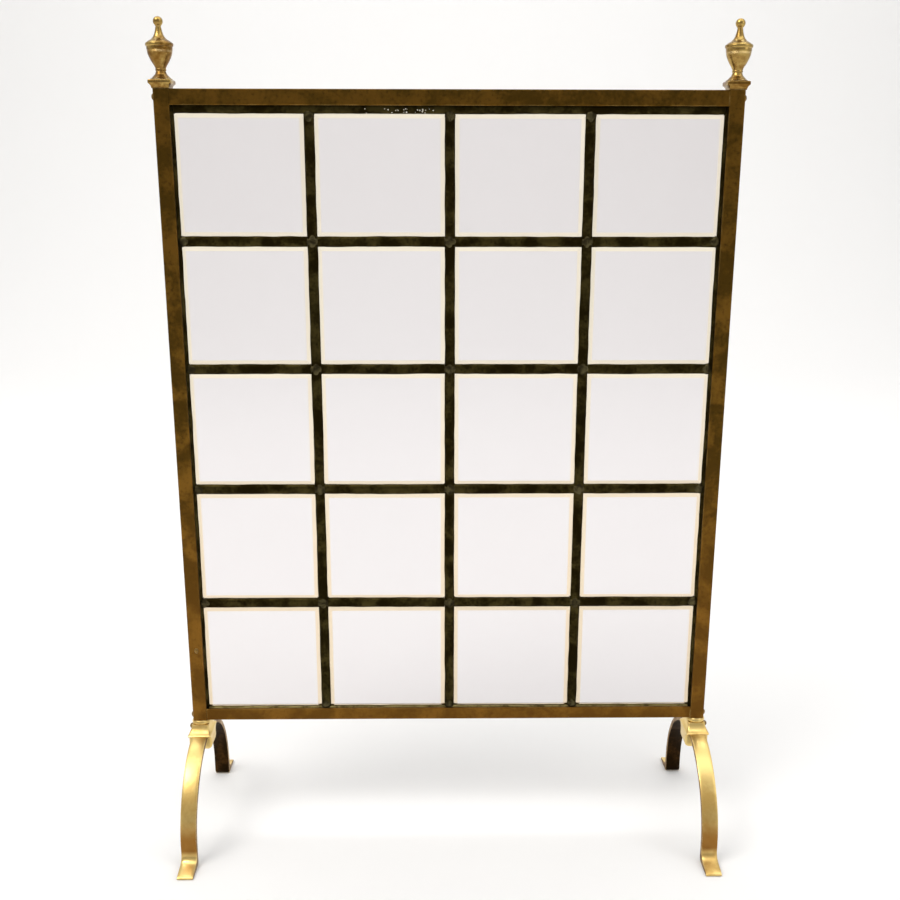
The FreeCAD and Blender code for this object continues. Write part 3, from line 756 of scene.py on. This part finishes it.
def strap_line():
    """(outer, inner) pairs of (reach, height) in metres, from the top of the arch to the toe."""
    reach, top = span("left_foot_arch", 1)[1], span("left_foot_arch", 2)[1]
    centre = top - OUTER_RADIUS
    line = []
    for step in range(25):
        angle = math.pi / 2 * step / 24
        line.append(((OUTER_RADIUS * math.sin(angle), centre + OUTER_RADIUS * math.cos(angle)),
                     (INNER_RADIUS * math.sin(angle), centre + INNER_RADIUS * math.cos(angle))))
    heel = [((78.0, 12.0), (73.0, 8.5)), ((78.5, 9.8), (73.0, 4.6)), ((79.6, 7.8), (73.4, 2.4)),
            ((81.4, 6.3), (74.4, 0.9)), ((83.6, 5.4), (76.4, 0.12)), ((86.0, 4.8), (80.0, 0.0)),
            ((90.0, 4.0), (86.0, 0.0)), ((94.0, 3.2), (92.0, 0.0)), ((96.2, 2.65), (95.6, 0.0))]
    line += [((a * MM, b * MM), (c * MM, d * MM)) for (a, b), (c, d) in heel]
    line.append(((reach - 0.4 * MM, 2.2 * MM), (reach - 0.7 * MM, 0.15 * MM)))
    line.append(((reach, 1.6 * MM), (reach - 0.1 * MM, 0.7 * MM)))
    return line


def bar_ring(outer, inner, half_width, x):
    """A rounded bar section between an outer and an inner point, crowned on the outer face."""
    ring = []
    soft = 0.16
    profile = [(-1.0, soft), (-0.985, 0.05), (-0.93, 0.0), (0.93, 0.0), (0.985, 0.05), (1.0, soft),
               (1.0, 1 - soft), (0.985, 0.94), (0.93, 0.985), (0.6, 1.03), (0.0, 1.05), (-0.6, 1.03),
               (-0.93, 0.985), (-0.985, 0.94), (-1.0, 1 - soft)]
    for across, rise in profile:
        rise = rise / 1.05
        y = inner[0] + (outer[0] - inner[0]) * rise
        z = inner[1] + (outer[1] - inner[1]) * rise
        ring.append((x + across * half_width, y, z))
    return ring


def strap_shell(x, half_width, seed):
    line = strap_line()
    full = [((-o[0], o[1]), (-i[0], i[1])) for o, i in reversed(line[1:])] + line
    rings = []
    for station, (outer, inner) in enumerate(full):
        sway = 0.12 * MM * noise.noise(Vector((station * 0.16, seed, 0.0)))
        rings.append(bar_ring(outer, inner, half_width - 0.05 * MM + sway, x))
    return skin(rings)


# The second material paints shade on the inside of each arch.
SHADE_INSIDE, BROWN_SIDE = 1, 2            # the strap's second and third materials
for side, seed in (("left", 3.1), ("right", 8.6)):
    node = f"{side}_foot_arch"
    half_width = (span(node, 0)[1] - span(node, 0)[0]) / 2
    strap = make_piece(f"strap_foot_{side}", strap_shell(middle(node, 0), half_width, seed), foot_brass,
                       [node])
    strap.data.materials.append(inner_shade_brass)
    strap.data.materials.append(side_brass)
    arch_centre = Vector((0.0, span(node, 2)[1] - OUTER_RADIUS))
    for face in strap.data.polygons:
        inwards = (arch_centre - Vector(face.center[1:])).normalized()
        if Vector(face.normal[1:]).dot(inwards) > 0.6:
            face.material_index = SHADE_INSIDE
        elif abs(face.normal.x) > 0.9:
            face.material_index = BROWN_SIDE


# %% [markdown]
# ## A drip on the left post
# One small run of brazing metal has set on the front of the left post, low down.  It is a drop shape:
# round above, drawn to a point below.  Rings that shrink towards a peak make it, squeezed sideways
# as they go down.

# %% The drip
def drip_shell(x, face_y, z, width, height, proud):
    rings = []
    for part in (1.0, 0.93, 0.78, 0.55, 0.28, 0.04):
        ring = []
        for step in range(20):
            angle = 2 * math.pi * step / 20
            narrow = 1.0 if math.sin(angle) > 0 else 1.0 + 0.55 * math.sin(angle)
            ring.append((x + part * width / 2 * math.cos(angle) * narrow,
                         face_y - proud * math.sqrt(1 - part ** 2) + (0.2 * MM if part == 1.0 else 0.0),
                         z + part * height / 2 * math.sin(angle)))
        rings.append(ring)
    return skin(rings)


post_front = span("left_post", 1)[0]
drip = drip_shell(-post_x + 0.6 * MM, post_front, 174.4 * MM, 4.2 * MM, 5.6 * MM, 1.1 * MM)
make_piece("brazing_drip", drip, screw_brass, crease_deg=70)

# %% [markdown]
# ## Flecks of old putty
# A few crumbs of white putty are still stuck along the top border came, over the second pane.  They
# are tiny lumps, each a small faceted stone, placed by a seeded random draw.

# %% Putty flecks
def putty_material():
    material = bpy.data.materials.new("old_putty")
    material.use_nodes = True
    tree = material.node_tree
    shader = tree.nodes["Principled BSDF"]
    node = tree.nodes.new("ShaderNodeGroup")
    node.node_tree = tarnish
    node.inputs["Patch Size"].default_value = 0.002
    colour = blend_colour(tree, node.outputs["Mask"], (0.80, 0.77, 0.68), (0.45, 0.40, 0.28))
    tree.links.new(colour, shader.inputs["Base Color"])
    shader.inputs["Roughness"].default_value = 0.85
    return material


def crumb_shell(centre, size, draw):
    rings = []
    for height in (-0.95, -0.4, 0.4, 0.95):
        radius = math.sqrt(1 - height ** 2)
        rings.append([(centre[0] + size * radius * draw.uniform(0.7, 1.3) * math.cos(math.pi * i / 3),
                       centre[1] + size * height * 0.6,
                       centre[2] + size * radius * draw.uniform(0.6, 1.1) * math.sin(math.pi * i / 3))
                      for i in range(6)])
    return skin(rings)


draw = random.Random(11)
shells = []
for _ in range(26):
    x = columns_x[0] + came_half + 0.100 * draw.betavariate(3.2, 1.7)
    z = top_sight + draw.uniform(0.2, 4.0) * MM
    shells.append(crumb_shell((x, -crown, z), draw.uniform(0.3, 0.75) * MM, draw))
make_piece("putty_flecks", gather(shells), putty_material(), crease_deg=20)


# %% [markdown]
# ## Floor, light and camera
# A pale floor that curves up into a pale wall gives a background with no horizon.  The light is soft
# and comes from large panels: one high in front on the left that draws the long streak on the
# feet, a weaker one on the right, and a bright wall behind so that the glass reads as clear.

# %% Sweep of floor and wall
def backdrop():
    material = bpy.data.materials.new("pale_backdrop")
    material.use_nodes = True
    tree = material.node_tree
    shader = tree.nodes["Principled BSDF"]
    grain = tree.nodes.new("ShaderNodeTexNoise")
    grain.inputs["Scale"].default_value = 3.0
    colour = blend_colour(tree, grain.outputs["Fac"], (0.90, 0.90, 0.90), (0.88, 0.88, 0.88))
    tree.links.new(colour, shader.inputs["Base Color"])
    shader.inputs["Roughness"].default_value = 0.9
    profile = [(-9.0, 0.0), (2.2, 0.0)]
    profile += [(2.2 + 1.2 * math.sin(a), 1.2 - 1.2 * math.cos(a))
                for a in (math.pi / 2 * i / 16 for i in range(1, 17))]
    profile.append((3.4, 5.0))
    verts = [(x, y, z) for y, z in profile for x in (-9.0, 9.0)]
    faces = [(2 * i, 2 * i + 1, 2 * i + 3, 2 * i + 2) for i in range(len(profile) - 1)]
    mesh = bpy.data.meshes.new("studio_sweep")
    mesh.from_pydata(verts, [], faces)
    mesh.polygons.foreach_set("use_smooth", [True] * len(faces))
    mesh.materials.append(material)
    sweep = bpy.data.objects.new("studio_sweep", mesh)
    bpy.context.scene.collection.objects.link(sweep)


backdrop()


# %% Lights
def panel_light(name, place, aim, size, power, colour=(1.0, 1.0, 1.0)):
    data = bpy.data.lights.new(name, "AREA")
    data.shape = "RECTANGLE"
    data.size, data.size_y = size
    data.energy = power
    data.color = colour
    lamp = bpy.data.objects.new(name, data)
    lamp.location = place
    lamp.rotation_euler = (Vector(aim) - Vector(place)).to_track_quat("-Z", "Y").to_euler()
    bpy.context.scene.collection.objects.link(lamp)
    lamp.visible_transmission = False      # or a lamp shows as a hard rectangle through the panes


screen_centre = (0.0, 0.0, 0.35)
panel_light("key_high_left", (-1.3, -1.0, 2.3), screen_centre, (1.2, 0.9), 19.0, (1.0, 0.97, 0.92))
panel_light("overhead", (0.0, -0.5, 2.6), (0.0, -0.2, 0.0), (5.0, 1.3), 27.0)
panel_light("fill_right", (1.9, -1.2, 1.2), screen_centre, (1.0, 1.4), 5.0)
panel_light("wall_wash", (0.0, 1.2, 3.2), (0.0, 3.4, 1.1), (3.5, 1.2), 45.0)
world = bpy.data.worlds.new("soft_room")
world.use_nodes = True
sky = world.node_tree
towards = sky.nodes.new("ShaderNodeSeparateXYZ")
sky.links.new(sky.nodes.new("ShaderNodeTexCoord").outputs["Generated"], towards.inputs[0])
behind = ramp(sky, towards.outputs["Y"], -0.9, 0.3)
overhead = math_node(sky, "MULTIPLY", ramp(sky, towards.outputs["Z"], 0.1, 0.9), 0.7)
lit = math_node(sky, "MAXIMUM", behind, overhead)
shade = blend_colour(sky, lit, (0.42, 0.40, 0.38), (1.0, 0.99, 0.97))
sky.links.new(shade, sky.nodes["Background"].inputs["Color"])
sky.nodes["Background"].inputs["Strength"].default_value = 0.85
bpy.context.scene.world = world
bpy.context.scene.view_settings.view_transform = "Standard"


# %% Camera
def look(place, down_deg, right_deg, roll_deg, lens):
    """A camera turned down, to the right and rolled by the given angles."""
    down, right, roll = (math.radians(a) for a in (down_deg, right_deg, roll_deg))
    ahead = Vector((math.sin(right) * math.cos(down), math.cos(right) * math.cos(down), -math.sin(down)))
    level_right = Vector((math.cos(right), -math.sin(right), 0.0))
    above = level_right.cross(ahead)
    side = level_right * math.cos(roll) + above * math.sin(roll)
    up = above * math.cos(roll) - level_right * math.sin(roll)
    data = bpy.data.cameras.new("camera")
    data.sensor_width = 36.0
    data.lens = lens
    camera = bpy.data.objects.new("camera", data)
    turn = Matrix((side, up, -ahead)).transposed().to_4x4()
    camera.matrix_world = Matrix.Translation(Vector(place)) @ turn
    bpy.context.scene.collection.objects.link(camera)
    bpy.context.scene.camera = camera


look(place=(-0.0118, -0.9091, 0.600), down_deg=14.66, right_deg=0.77, roll_deg=0.10, lens=42.84)
